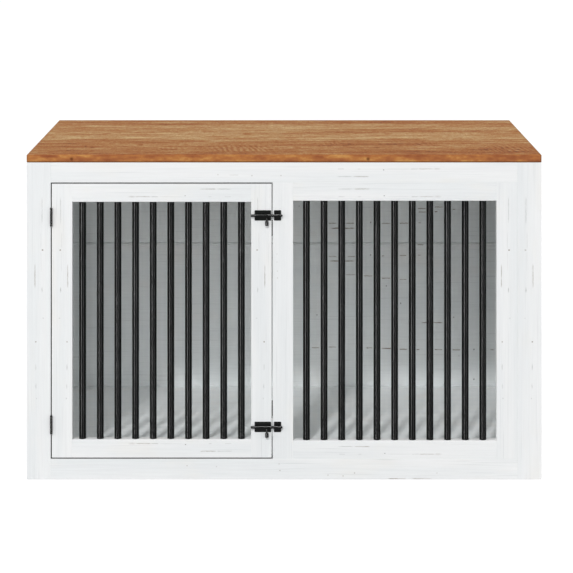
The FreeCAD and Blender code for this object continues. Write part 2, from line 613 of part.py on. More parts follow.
def build():
    """Every piece by name. Holes are collected by the piece's name and drilled last."""
    parts = {}
    holes = defaultdict(list)
    front_frame(parts, holes)
    for side, sign in (("left", -1), ("right", 1)):
        side_frame(side, sign, parts, holes)
    carcass_panels(parts)
    parts["frame_dowels"] = group(frame_dowels(holes))
    bolts, locks = cams(holes)
    parts["cam_bolts"] = group(bolts)
    parts["cam_locks"] = group(locks)
    screws = Fasteners()
    cleats(parts, holes, screws)
    parts["top_brackets"] = group(top_brackets(holes, screws))
    parts["carcass_screws"] = group(screws.pieces)
    parts["back_panel_screws"] = group(back_screws(holes))
    door(parts, holes)
    hinges(parts, holes)
    barrel_bolts(parts, holes)
    catches(parts, holes)
    for name, tools in holes.items():
        parts[name] = drilled(parts[name], tools)
    return parts


os.makedirs("parts", exist_ok=True)
for name, shape in build().items():
    shape.exportStep(f"parts/{name}.step")
    solids = shape.Solids
    volume = sum(solid.Volume for solid in solids) / 1000
    print(f"{name}: {len(solids)} solid(s), {volume:.1f} cm3, valid {shape.isValid()}")
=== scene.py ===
"""The looks of a dog crate end table: white painted wood, a rustic brown top and black metalwork.

Metres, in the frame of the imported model: +X to the right, +Z up, and the front faces -Y.
Colours are written as the display values 0-255 that they show in plain light.
"""

import bpy
from mathutils import Matrix, Vector


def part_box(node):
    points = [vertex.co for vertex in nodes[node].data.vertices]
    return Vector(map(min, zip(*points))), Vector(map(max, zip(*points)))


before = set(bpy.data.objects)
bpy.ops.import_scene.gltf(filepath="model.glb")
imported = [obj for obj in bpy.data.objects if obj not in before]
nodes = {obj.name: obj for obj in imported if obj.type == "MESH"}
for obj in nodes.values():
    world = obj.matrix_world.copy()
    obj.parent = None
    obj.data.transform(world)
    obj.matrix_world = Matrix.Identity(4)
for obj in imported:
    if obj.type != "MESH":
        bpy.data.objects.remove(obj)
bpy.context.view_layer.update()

# ---- places that come from the frame ----
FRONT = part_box("front_left_post")[0].y
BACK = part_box("top_board")[1].y
BOARD_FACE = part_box("back_lower_panel")[0].y
TOP_HALF_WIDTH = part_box("top_board")[1].x
TOP_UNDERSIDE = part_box("top_board")[0].z

DOOR_BOXES = [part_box(f"door_{part}") for part in ("hinge_stile", "latch_stile", "bottom_rail", "top_rail")]
DOOR_LOW = Vector(map(min, *(low for low, high in DOOR_BOXES)))
DOOR_HIGH = Vector(map(max, *(high for low, high in DOOR_BOXES)))
DOOR_MIDDLE = (DOOR_LOW + DOOR_HIGH) / 2
DOOR_HALF = (DOOR_HIGH - DOOR_LOW) / 2

# ---- groups of pieces ----
# pieces beside the door; with the door's own pieces, their faces in its gap get painted shade
BESIDE_DOOR = ("front_left_post", "front_top_rail", "front_bottom_rail", "centre_stile")
# the inside boards take a lighter, cooler copy of the paint: painted fill light for their shade
PIECES_WITH_PAINTED_LIGHT = ("back_upper_panel", "back_lower_panel", "floor_panel")
BLACK_METAL_SLOTS = ("black_bar", "black_hardware")

# ---- the photograph's view, in metres unless a line says otherwise ----
EYE = Vector((0.005, FRONT - 4.178, 1.292))
AIM = Vector((0.0052, FRONT, 0.4158))
FRAME_WIDTH = 1.235                 # what the photograph's width spans in the plane of the front
SENSOR = 36.0                       # millimetres
VIEW_REACH = 200.0                  # how far the camera sees
PHOTO_MIDDLE = 284.1                # pixel column of X = 0 in the plane of the front
PHOTO_FOOT = 479.4                  # pixel row of Z = 0 in the plane of the front
PHOTO_PIXEL = 0.0021553             # metres that a pixel spans in the plane of the front

# ---- light ----
KEY_WAY = (0.30, 1.0, -0.89)
KEY_STRENGTH = 1.36
KEY_SPREAD = 0.07                   # radians that the key lamp spans
AMBIENT = 0.62
AMBIENT_TINT = (0.965, 0.985, 0.99, 1.0)
FLOOR_TONE = 0.40                   # what the floor reflects onto the object
FLOOR_GLOW = 0.88                   # of white, for what looks straight at the floor
FLOOR_SHADOW = 0.18                 # share of the floor that darkens in the shadow
FLOOR_HALF = 30.0
FLOOR_DROP = 0.0002                 # keeps the floor clear of the object's underside
# soft boxes beside the object: (name, place, target, watts)
SOFT_BOXES = (("front_left_box", (-2.9, -1.6, 1.2), (-0.5, 0.1, 0.3), 20.0),
              ("front_right_box", (2.9, -1.6, 1.2), (0.5, 0.1, 0.3), 11.0),
              ("left_box", (-3.2, 0.0, 0.9), (-0.5, 0.0, 0.3), 18.0),
              ("right_box", (3.2, 0.0, 0.9), (0.5, 0.0, 0.3), 31.0))
SOFT_BOX_SIZE = (1.6, 1.4)
SHEEN_SPREAD = 0.16                 # radians that each of the next lamps spans
# lamps that only show as thin highlights on the black metal: (name, way, strength)
SHEEN_LAMPS = (("left_sheen", (0.53, 0.82, 0.20), 7.0), ("right_sheen", (-0.53, 0.82, 0.20), 3.2),
               ("top_sheen", (0.05, 0.62, -0.79), 9.0))

# ---- colours ----
# the paint's white, its greyer streaks and its warmer patches
OUTER_PAINT = ((245, 245, 245), (237, 239, 240), (243, 241, 237))
# the inside boards' lighter, cooler copy: painted light that brightens their shade
INSIDE_PAINT_WITH_PAINTED_LIGHT = ((249, 252, 252), (243, 247, 248), (249, 248, 246))
PAINT_LINES = (205, 207, 208)
GREY_CRACKS = (120, 116, 112)
BROWN_CRACKS = (112, 84, 54)
# painted shade for the faces that line the door's gap
GAP_PAINTED_SHADE = (120, 119, 116)
# brown wood from dark to light: (position, colour)
TOP_COLOURS = ((0.0, (112, 60, 28)), (0.2, (149, 84, 34)), (0.5, (165, 113, 63)), (0.8, (181, 144, 98)),
               (1.0, (198, 166, 118)))
EDGE_COLOURS = ((0.30, (146, 84, 54)), (0.46, (168, 105, 64)), (0.56, (182, 119, 68)),
                (0.70, (204, 150, 88)))
TOP_PORES = (84, 50, 30)
EDGE_KNOTS = (96, 48, 28)
EDGE_FOOT = (104, 66, 38)
TOP_RIM = (104, 66, 42)
BACKING = ((144, 141, 128), (154, 150, 136))
METAL_RUBBED = (92, 92, 90)
ZINC = ((190, 192, 190), (158, 162, 164), (176, 168, 138))
BEECH = ((214, 184, 142), (188, 150, 104))

# ---- the painted shade along the door's gap, in metres ----
GAP_STARTS = (-0.0003, -0.0001)     # outward from the door's edge
GAP_ENDS = (0.0029, 0.0026)
GAP_SETS_IN = (0.0006, 0.0012)      # behind the front

# ---- the top's figure: its lightness runs from 0, dark and reddish, to 1, light and tan ----
# lightness from the back edge to the front edge: (share of the depth, lightness)
TOP_BANDS = ((0.00, 0.40), (0.12, 0.46), (0.19, 0.72), (0.27, 0.76), (0.32, 0.57), (0.39, 0.58),
             (0.45, 0.72), (0.51, 0.78), (0.555, 0.90), (0.585, 0.68), (0.62, 0.38), (0.70, 0.44),
             (0.80, 0.49), (0.88, 0.39), (0.95, 0.22), (1.00, 0.12))
# layers of light and dark: (repeats per metre along x, repeats per metre along y, amount)
TOP_FIGURE = ((2.2, 14.0, 0.65), (4.0, 34.0, 0.70), (12.0, 44.0, 0.80), (30.0, 60.0, 0.70),
              (90.0, 90.0, 0.80), (260.0, 130.0, 0.80), (5.0, 130.0, 0.60), (9.0, 330.0, 0.50))
# marks in the top: (x, y, half length, half depth, strength)
TOP_DARK_MARKS = ((-0.38, 0.275, 0.20, 0.045, 0.22), (0.29, 0.275, 0.17, 0.045, 0.25),
                  (-0.40, -0.04, 0.09, 0.03, 0.2), (0.27, -0.06, 0.08, 0.04, 0.2),
                  (-0.46, -0.25, 0.09, 0.05, 0.25), (0.18, -0.21, 0.10, 0.05, 0.15),
                  (-0.125, -0.045, 0.105, 0.020, 0.4), (-0.355, -0.050, 0.06, 0.018, 0.3),
                  (0.275, -0.050, 0.06, 0.020, 0.3), (0.485, -0.045, 0.08, 0.018, 0.35),
                  (-0.05, -0.095, 0.07, 0.016, 0.2), (-0.47, -0.085, 0.03, 0.03, 0.25),
                  (-0.413, 0.043, 0.016, 0.028, 0.6), (-0.087, 0.043, 0.014, 0.026, 0.6),
                  (0.239, 0.043, 0.014, 0.026, 0.5), (-0.425, -0.185, 0.012, 0.022, 0.6),
                  (0.030, -0.185, 0.012, 0.022, 0.6), (0.205, -0.185, 0.012, 0.022, 0.6),
                  (-0.322, -0.145, 0.010, 0.035, 0.5))
TOP_LIGHT_MARKS = ((-0.345, -0.015, 0.05, 0.018, 0.35), (-0.20, -0.018, 0.07, 0.016, 0.3),
                   (-0.16, -0.085, 0.05, 0.016, 0.3), (0.36, -0.015, 0.12, 0.018, 0.3),
                   (-0.47, 0.20, 0.06, 0.03, 0.3), (0.20, 0.21, 0.10, 0.03, 0.3))
# patches that ripple like a flame
TOP_FLAMES = ((-0.095, -0.205, 0.125, 0.085, 0.9), (0.500, -0.205, 0.105, 0.085, 0.9),
              (0.11, -0.12, 0.06, 0.06, 0.5), (0.315, -0.13, 0.05, 0.06, 0.6),
              (-0.245, -0.20, 0.06, 0.05, 0.4))
# knots in the front edge: (x, z, half length, half height, strength)
TOP_EDGE_KNOTS = ((-0.458, 0.6905, 0.0055, 0.0055, 0.8), (0.181, 0.6905, 0.0055, 0.0055, 0.8))

# ---- marks in the paint, by their columns and rows in the photograph ----
BACK_CONTRAST = 1.7                 # the shaded boards show their cracks more
# cracks in the back boards: (first column, last column, row, strength)
BACK_CRACKS = ((417, 427, 208.5, 0.8), (418, 427, 212.0, 1.0), (434, 444, 207.0, 1.0), (434, 438, 211.7, 0.9),
               (452, 456, 209.4, 0.7), (328, 337, 223.2, 0.9), (345, 355, 223.2, 0.7), (381, 391, 223.4, 0.6),
               (399, 409, 223.2, 1.0), (417, 422, 222.8, 0.5), (330, 356, 228.2, 1.1), (417, 424, 244.7, 0.7),
               (328, 337, 256.4, 0.7), (347, 356, 256.4, 0.6), (381, 385, 256.0, 0.5), (399, 407, 255.5, 0.8),
               (417, 422, 255.1, 0.5), (328, 356, 261.0, 0.9), (345, 356, 274.6, 0.8), (363, 373, 275.9, 0.8),
               (381, 391, 278.2, 0.9), (399, 407, 279.4, 0.8), (420, 444, 322.6, 0.9), (311, 320, 347.7, 0.5),
               (328, 337, 347.0, 0.6), (365, 373, 347.8, 0.6), (381, 392, 348.3, 1.0), (399, 408, 349.2, 0.9),
               (416, 420, 349.5, 0.9), (434, 443, 349.5, 0.9), (452, 461, 349.8, 0.9), (489, 495, 349.7, 0.7))
# knots in the back boards: (column, row, strength)
BACK_SPOTS = ((370.6, 222.4, 1.0), (370.6, 255.0, 1.0), (386.3, 285.9, 0.8), (400.6, 303.2, 0.9),
              (317.0, 314.8, 0.7), (453.7, 317.2, 0.7), (299.1, 206.2, 0.6), (367.8, 347.8, 0.8),
              (474.0, 349.3, 0.9), (474.0, 379.2, 0.9), (459.0, 355.8, 0.5))
# the same for the sill, the top rail and the centre stile
SILL_CRACKS = ((387, 407, 478.6, 1.0), (411, 433, 478.6, 0.8))
SILL_SPOTS = ((437.0, 473.0, 0.5), (354.6, 473.0, 0.5), (343.0, 476.0, 0.4), (328.0, 475.0, 0.4),
              (280.0, 470.4, 0.7), (279.0, 464.0, 0.3), (216.5, 466.5, 0.4), (187.0, 465.7, 0.4))
RAIL_CRACKS = ((229, 239, 175.0, 0.35),)
RAIL_SPOTS = ((218.0, 174.6, 0.3), (252.0, 175.5, 0.4), (281.0, 175.5, 0.5))
STILE_SPOTS = ((277.5, 271.0, 0.3), (277.5, 278.0, 0.35), (277.0, 254.0, 0.2), (277.0, 262.0, 0.2))
SPOT_HALF = (0.0022, 0.0020)        # a knot's half length and half height in metres
BACK_SPOT_HALF = (0.0022, 0.0028)
CRACK_HALF = 0.0011                 # a crack's half width in metres
BACK_CRACK_HALF = 0.0013
STREAK = 0.55                       # share of a streak's strength that shows
STREAK_RATIO = 6                    # a mark this many times as long as it is wide is a streak


def shade(red, green, blue):
    """A display colour 0-255 as the linear colour that a shader takes."""
    def linear(value):
        value /= 255
        return value / 12.92 if value <= 0.04045 else ((value + 0.055) / 1.055) ** 2.4
    return linear(red), linear(green), linear(blue), 1.0


class Graph:
    """A node tree written as short calls. Every value is a socket or a plain number."""

    def __init__(self, owner):
        owner.use_nodes = True
        self.owner = owner
        self.tree = owner.node_tree
        self.tree.nodes.clear()

    def node(self, kind, inputs=None, **settings):
        """Adds a node, with its inputs by name and its settings."""
        made = self.tree.nodes.new(kind)
        for name, value in settings.items():
            setattr(made, name, value)
        for name, value in (inputs or {}).items():
            self.feed(made.inputs[name], value)
        return made

    def feed(self, socket, value):
        """Links a socket to another one, or sets its value."""
        if isinstance(value, bpy.types.NodeSocket):
            self.tree.links.new(value, socket)
        else:
            socket.default_value = value

    def place(self):
        """The point on the surface, in metres in the object's frame."""
        return self.node("ShaderNodeTexCoord").outputs["Object"]

    def math(self, operation, *values):
        made = self.node("ShaderNodeMath", operation=operation)
        for socket, value in zip(made.inputs, values):
            self.feed(socket, value)
        return made.outputs[0]

    def vector(self, operation, *values):
        made = self.node("ShaderNodeVectorMath", operation=operation)
        for socket, value in zip(made.inputs, values):
            self.feed(socket, value)
        return made.outputs["Value" if operation == "LENGTH" else "Vector"]

    def split(self, vector):
        return self.node("ShaderNodeSeparateXYZ", {"Vector": vector}).outputs

    def noise(self, point, scale=1.0, detail=2.0, roughness=0.5, distortion=0.0):
        values = {"Vector": point, "Scale": scale, "Detail": detail, "Roughness": roughness,
                  "Distortion": distortion}
        return self.node("ShaderNodeTexNoise", values).outputs["Fac"]

    def stretched(self, point, rates, offset=(0, 0, 0)):
        """Coordinates with their own number of repeats per metre along X, Y and Z."""
        return self.vector("MULTIPLY_ADD", point, rates, offset)

    def ranged(self, value, low, high, to_low=0.0, to_high=1.0, smooth=True):
        """The value carried from one range to another, clamped at its ends."""
        kind = "SMOOTHSTEP" if smooth else "LINEAR"
        values = {"Value": value, "From Min": low, "From Max": high, "To Min": to_low, "To Max": to_high}
        return self.node("ShaderNodeMapRange", values, interpolation_type=kind).outputs["Result"]

    def mix(self, factor, first, second, blend="MIX"):
        """One colour over another. The node keeps its colour sockets at these numbers."""
        made = self.node("ShaderNodeMix", data_type="RGBA", blend_type=blend)
        for index, value in ((0, factor), (6, first), (7, second)):
            self.feed(made.inputs[index], value)
        return made.outputs[2]

    def ramp(self, value, stops):
        """A colour ramp through (position, colour) stops."""
        made = self.node("ShaderNodeValToRGB", {"Fac": value})
        elements = made.color_ramp.elements
        while len(elements) < len(stops):
            elements.new(1.0)
        for element, (position, colour) in zip(elements, stops):
            element.position = position
            element.color = colour
        return made.outputs["Color"]

    def surface(self, colour, roughness, height=None, depth=0.0, constants=None):
        """A Principled surface with a bump depth in metres. Constants go on its own sockets."""
        values = {"Base Color": colour, "Roughness": roughness, **(constants or {})}
        shader = self.node("ShaderNodeBsdfPrincipled", values)
        if height is not None:
            bump = self.node("ShaderNodeBump", {"Height": height, "Distance": depth, "Strength": 1.0})
            self.feed(shader.inputs["Normal"], bump.outputs["Normal"])
        self.output(shader.outputs[0])
        return self.owner

    def output(self, shader, kind="ShaderNodeOutputMaterial"):
        self.node(kind, {"Surface": shader})


def material(name):
    return Graph(bpy.data.materials.new(name))


# ---- marks on a surface: (u, v, half length, half height, strength) in a plane of the object ----
PLANES = {"xz": (0, 2), "yz": (1, 2), "xy": (0, 1)}


def marks_mask(g, point, plane, marks):
    """The strongest of several marks in one plane of the object's frame.

    A knot fades out from its middle. A streak keeps its strength along its length.
    """
    mask = 0.0
    for u, v, half_u, half_v, strength in marks:
        rate, offset = [0.0] * 3, [0.0] * 3
        for axis, centre, half in zip(PLANES[plane], (u, v), (half_u, half_v)):
            rate[axis] = 1 / half
            offset[axis] = -centre / half
        away = g.vector("MULTIPLY_ADD", point, rate, offset)
        if max(half_u, half_v) > STREAK_RATIO * min(half_u, half_v):
            x, y, z = g.split(g.vector("ABSOLUTE", away))
            spot = g.ranged(g.math("MAXIMUM", g.math("MAXIMUM", x, y), z), 1.0, 0.6, 0.0, strength * STREAK)
        else:
            spot = g.ranged(g.vector("LENGTH", away), 1.0, 0.2, 0.0, strength)
        mask = g.math("MAXIMUM", mask, spot)
    return mask


def streak(start, end, height, strength, half=CRACK_HALF):
    """A mark that runs along u."""
    return (start + end) / 2, height, (end - start) / 2, half, strength


def upright(u, top, bottom, strength, half=CRACK_HALF):
    """A mark that runs along v."""
    return u, (top + bottom) / 2, half, (top - bottom) / 2, strength


def mirrored(marks, knot_u, knot_v, side):
    """The marks around a knot at its place. A side of -1 mirrors them along u."""
    return [(knot_u + side * u, knot_v + v, *rest) for u, v, *rest in marks]


def rail_marks(knot_u, knot_v, side, upward):
    """Cracks and a knot in a rail's paint. side and upward are 1 or -1 and mirror the pattern."""
    line, second = -0.002 * upward, 0.0144 * upward
    grey = [(0.0, 0.0, 0.0024, 0.0016, 0.9), streak(-0.100, -0.084, line, 0.45),
            streak(-0.059, -0.048, line, 0.3), streak(0.003, 0.060, line, 0.22),
            streak(0.057, 0.075, line, 0.6), streak(-0.102, -0.066, second, 0.6)]
    brown = [streak(0.072, 0.110, line, 0.75), streak(0.104, 0.126, line, 0.25, 0.003),
             streak(-0.068, -0.030, second, 0.9)]
    return mirrored(grey, knot_u, knot_v, side), mirrored(brown, knot_u, knot_v, side)


def post_marks(knot_u, knot_v, side):
    """Cracks and knots in the paint of an upright member. side is 1 or -1 and mirrors the pattern."""
    grey = [upright(0.001, 0.117, 0.054, 0.55), upright(0.0035, 0.040, 0.0, 0.25),
            upright(0.003, 0.0, -0.050, 0.18), upright(0.001, -0.078, -0.094, 0.5, 0.0016),
            (-0.0015, -0.147, 0.0028, 0.0018, 0.3), upright(0.0146, -0.243, -0.262, 0.35, 0.0016),
            upright(0.014, -0.286, -0.302, 0.3, 0.0016), (0.013, -0.320, 0.0016, 0.0024, 0.35)]
    brown = [(0.0, 0.0, 0.0030, 0.0019, 1.0), upright(0.0162, -0.028, -0.084, 0.9, 0.0012),
             (0.0146, -0.198, 0.0026, 0.0020, 0.9)]
    return mirrored(grey, knot_u, knot_v, side), mirrored(brown, knot_u, knot_v, side)


def on_front(column, row):
    """The point in the plane of the front that a place in the photograph shows."""
    return (column - PHOTO_MIDDLE) * PHOTO_PIXEL, (PHOTO_FOOT - row) * PHOTO_PIXEL


def front_marks(cracks, spots):
    """The grey marks, of which there are none, and the brown marks of a piece in the front."""
    brown = []
    for first, last, row, strength in cracks:
        (start, height), (end, _) = on_front(first, row), on_front(last, row)
        brown.append(streak(start, end, height, strength))
    for column, row, strength in spots:
        brown.append((*on_front(column, row), *SPOT_HALF, strength))
    return [], brown


def on_back(column, row):
    """The point on the back boards' inner face that a place in the photograph shows."""
    spread = (BOARD_FACE - EYE.y) / (FRONT - EYE.y)
    x, z = on_front(column, row)
    return EYE.x + (x - EYE.x) * spread, EYE.z + (z - EYE.z) * spread


def board_marks():
    """The grey and the brown marks of the back boards."""
    brown = []
    for first, last, row, strength in BACK_CRACKS:
        (start, height), (end, _) = on_back(first, row), on_back(last, row)
        brown.append(streak(start, end, height, strength * BACK_CONTRAST, BACK_CRACK_HALF))
    grey = []
    for column, row, strength in BACK_SPOTS:
        grey.append((*on_back(column, row), *BACK_SPOT_HALF, strength))
    return grey, brown


# ---- materials ----
def painted_wood(name, grain, plane, marks=((), ()), tones=OUTER_PAINT, gap=False, seed=0.0):
    """White paint over wood grain along one axis, with cracks that show grey or brown wood.

    The edges that line the door's gap are darkened with painted shade that stands in for the shade in the
    gap.
    """
    g = material(name)
    place = g.place()
    along = "xyz".index(grain)

    def fibres(rate_along, rate_across, detail=3.0, roughness=0.55, distortion=0.0, shift=0.0):
        rates = [rate_across] * 3
        rates[along] = rate_along
        point = g.stretched(place, rates, (seed + shift, seed * 1.7 - shift, seed * 0.6 + shift))
        return g.noise(point, 1.0, detail, roughness, distortion)

    broad = fibres(1.5, 22.0, 2.0)
    fine = fibres(9.0, 240.0, 4.0, 0.6, shift=3.1)
    lines = fibres(5.0, 420.0, 2.0, 0.5, 0.6, shift=7.7)
    patches = fibres(6.0, 14.0, 3.0, shift=11.3)

    white, grey_white, warm_white = (shade(*tone) for tone in tones)
    colour = g.mix(g.ranged(broad, 0.3, 0.7), white, grey_white)
    colour = g.mix(g.ranged(patches, 0.52, 0.75, 0.0, 0.6), colour, warm_white)
    line_mask = g.ranged(lines, 0.60, 0.74, 0.0, 0.35)
    colour = g.mix(line_mask, colour, shade(*PAINT_LINES))
    fine_tone = g.ranged(fine, 0.25, 0.75, 0.955, 1.02, smooth=False)
    fine_grey = g.node("ShaderNodeCombineColor", {"Red": fine_tone, "Green": fine_tone, "Blue": fine_tone})
    colour = g.mix(1.0, colour, fine_grey.outputs[0], "MULTIPLY")

    # the marks waver by up to 0.8 mm and break up along the grain
    sway = g.math("MULTIPLY", g.math("SUBTRACT", g.noise(place, 210.0, 2.0), 0.5), 0.0016)
    bent = g.vector("ADD", place, g.node("ShaderNodeCombineXYZ", dict.fromkeys("XYZ", sway)).outputs[0])
    broken = g.ranged(fibres(60.0, 300.0, 2.0, shift=5.2), 0.30, 0.62, 0.45, 1.0)
    grey_marks, brown_marks = marks
    grey_mask = g.math("MULTIPLY", marks_mask(g, bent, plane, grey_marks), broken)
    brown_mask = g.math("MULTIPLY", marks_mask(g, bent, plane, brown_marks), broken)
    colour = g.mix(grey_mask, colour, shade(*GREY_CRACKS))
    colour = g.mix(brown_mask, colour, shade(*BROWN_CRACKS))

    # painted shade: darkens the faces in the door's gap, where shade falls
    if gap:
        x, y, z = g.split(place)
        beside = g.math("SUBTRACT", g.math("ABSOLUTE", g.math("SUBTRACT", x, DOOR_MIDDLE.x)), DOOR_HALF.x)
        above = g.math("SUBTRACT", g.math("ABSOLUTE", g.math("SUBTRACT", z, DOOR_MIDDLE.z)), DOOR_HALF.z)
        outside = g.math("MAXIMUM", beside, above)
        gap_shade_mask = g.math("MULTIPLY", g.ranged(outside, *GAP_STARTS), g.ranged(outside, *GAP_ENDS))
        behind = g.math("SUBTRACT", y, FRONT)
        gap_shade_mask = g.math("MULTIPLY", gap_shade_mask, g.ranged(behind, *GAP_SETS_IN))
        colour = g.mix(gap_shade_mask, colour, shade(*GAP_PAINTED_SHADE), "MULTIPLY")

    roughness = g.ranged(fine, 0.2, 0.8, 0.48, 0.62, smooth=False)
    cracks = g.math("MAXIMUM", g.math("MAXIMUM", grey_mask, brown_mask), g.math("MULTIPLY", line_mask, 0.6))
    height = g.math("SUBTRACT", g.math("MULTIPLY", fine, 0.5), cracks)
    return g.surface(colour, roughness, height, 0.00025)


def brown_top():
    """Rustic brown wood: bands of tone from back to front, blotches, saw marks, fibres and knots."""
    g = material("rustic_brown_top")
    place = g.place()
    x, y, z = g.split(place)

    def layer(rate_x, rate_y, detail=1.0, roughness=0.5, shift=0.0):
        point = g.stretched(place, (rate_x, rate_y, rate_y), (shift, shift * 1.3, 0.0))
        return g.noise(point, 1.0, detail, roughness)

    def ramped(value, stops):
        return g.ramp(value, [(position, shade(*tone)) for position, tone in stops])

    drift = g.math("MULTIPLY_ADD", layer(5.0, 9.0, shift=2.0), 0.10, -0.05)
    back_to_front = g.ranged(g.math("ADD", y, drift), BACK, FRONT, smooth=False)
    tone = g.node("ShaderNodeSeparateColor", {"Color": g.ramp(back_to_front, [
        (stop, (light, light, light, 1.0)) for stop, light in TOP_BANDS])}).outputs[0]
    for rate_x, rate_y, amount in TOP_FIGURE:
        part = g.math("SUBTRACT", layer(rate_x, rate_y, 0.0, shift=rate_x * 0.37 + 1.0), 0.5)
        tone = g.math("MULTIPLY_ADD", part, amount, tone)
    fine = layer(12.0, 520.0, 4.0, 0.62, shift=6.0)
    tone = g.math("MULTIPLY_ADD", g.math("SUBTRACT", fine, 0.5), 0.7, tone)

    ragged = g.ranged(layer(26.0, 40.0, 2.0, shift=5.0), 0.30, 0.60, 0.35, 1.0)
    slant = g.math("MULTIPLY_ADD", x, 82.0, g.math("MULTIPLY", y, 14.0))
    wavy = g.math("MULTIPLY_ADD", layer(18.0, 12.0, shift=9.0), 2.2, slant)
    ripple = g.ranged(g.math("PINGPONG", wavy, 0.5), 0.10, 0.40, -0.65, 0.0)
    for marks, amount in ((TOP_DARK_MARKS, -1.0), (TOP_LIGHT_MARKS, 1.0), (TOP_FLAMES, ripple)):
        mask = g.math("MULTIPLY", marks_mask(g, place, "xy", marks), ragged)
        tone = g.math("MULTIPLY_ADD", mask, amount, tone)
    colour = ramped(g.ranged(tone, -0.35, 1.35, smooth=False), TOP_COLOURS)

    pores = layer(45.0, 1300.0, 2.0, shift=8.0)
    pore_mask = g.ranged(pores, 0.64, 0.74, 0.0, 0.4)
    colour = g.mix(pore_mask, colour, shade(*TOP_PORES))

    # the front edge shows orange to golden patches, two small knots and a dark foot
    along = layer(13.0, 60.0, 2.0, 0.6, shift=3.0)
    grained = layer(90.0, 160.0, 2.0, 0.6, shift=7.0)
    edge_tone = g.math("MULTIPLY_ADD", g.math("SUBTRACT", grained, 0.5), 0.35, along)
    edge_colour = ramped(edge_tone, EDGE_COLOURS)
    edge_colour = g.mix(marks_mask(g, place, "xz", TOP_EDGE_KNOTS), edge_colour, shade(*EDGE_KNOTS))
    foot = g.ranged(z, TOP_UNDERSIDE + 0.0035, TOP_UNDERSIDE + 0.0020, 0.0, 0.8)
    edge_colour = g.mix(foot, edge_colour, shade(*EDGE_FOOT))
    edge = g.ranged(y, FRONT + 0.0015, FRONT + 0.0005)
    colour = g.mix(edge, colour, edge_colour)

    # the other three edges are darker, and the underside shows its backing
    rim = g.math("MAXIMUM", g.ranged(y, BACK - 0.012, BACK - 0.002),
                 g.ranged(g.math("ABSOLUTE", x), TOP_HALF_WIDTH - 0.004, TOP_HALF_WIDTH - 0.001))
    colour = g.mix(g.math("MULTIPLY", rim, 0.45), colour, shade(*TOP_RIM))
    dark_backing, light_backing = (shade(*tone) for tone in BACKING)
    backing = g.mix(g.ranged(layer(40.0, 40.0, 3.0), 0.3, 0.7), dark_backing, light_backing)
    colour = g.mix(g.ranged(z, TOP_UNDERSIDE + 0.0003, TOP_UNDERSIDE + 0.0001), colour, backing)

    roughness = g.ranged(fine, 0.3, 0.7, 0.50, 0.64, smooth=False)
    height = g.math("SUBTRACT", fine, pore_mask)
    return g.surface(colour, roughness, height, 0.00022, {"Specular IOR Level": 0.03})


def coated_metal(name, base, rough, grain_rate, depth, wear=0.0, uneven=0.035):
    """Black coated metal: a fine orange-peel coat, uneven gloss and rubbed spots."""
    g = material(name)
    place = g.place()
    peel = g.noise(place, grain_rate, 2.0, 0.5)
    smears = g.noise(g.stretched(place, (30.0, 30.0, 9.0)), 1.0, 4.0, 0.6)
    dark = shade(base, base + 1, base + 1)
    light = shade(base + 9, base + 10, base + 10)
    colour = g.mix(g.ranged(smears, 0.35, 0.75, 0.0, 0.8), dark, light)
    rubbed = g.ranged(g.noise(place, 160.0, 4.0, 0.7), 0.66, 0.74, 0.0, wear)
    colour = g.mix(rubbed, colour, shade(*METAL_RUBBED))
    roughness = g.ranged(smears, 0.25, 0.75, rough - uneven, rough + uneven, smooth=False)
    return g.surface(colour, roughness, peel, depth, {"Specular IOR Level": 0.07})


def zinc_steel():
    """Zinc-plated steel with its mottled grey."""
    g = material("zinc_steel_finish")
    place = g.place()
    mottle = g.node("ShaderNodeTexVoronoi", {"Vector": place, "Scale": 420.0}).outputs["Color"]
    cloud = g.noise(place, 55.0, 4.0, 0.6)
    level = g.node("ShaderNodeSeparateColor", {"Color": mottle}).outputs[0]
    bright, dull, yellow = (shade(*tone) for tone in ZINC)
    colour = g.mix(g.ranged(level, 0.0, 1.0, 0.0, 0.5), bright, dull)
    colour = g.mix(g.ranged(cloud, 0.5, 0.75, 0.0, 0.5), colour, yellow)
    roughness = g.ranged(cloud, 0.3, 0.7, 0.30, 0.48, smooth=False)
    return g.surface(colour, roughness, level, 0.00002, {"Metallic": 1.0})


def bare_wood():
    """Pale turned wood of the dowels."""
    g = material("beech")
    place = g.place()
    fine = g.noise(g.stretched(place, (60.0, 60.0, 500.0)), 1.0, 3.0)
    pale, dark = (shade(*tone) for tone in BEECH)
    colour = g.mix(g.ranged(fine, 0.3, 0.7), pale, dark)
    return g.surface(colour, g.ranged(fine, 0.2, 0.8, 0.6, 0.75), fine, 0.0001)


# ---- each piece gets its material ----
def finish(name, chosen):
    """Gives a piece its material."""
    for slot in nodes[name].material_slots:
        slot.material = chosen


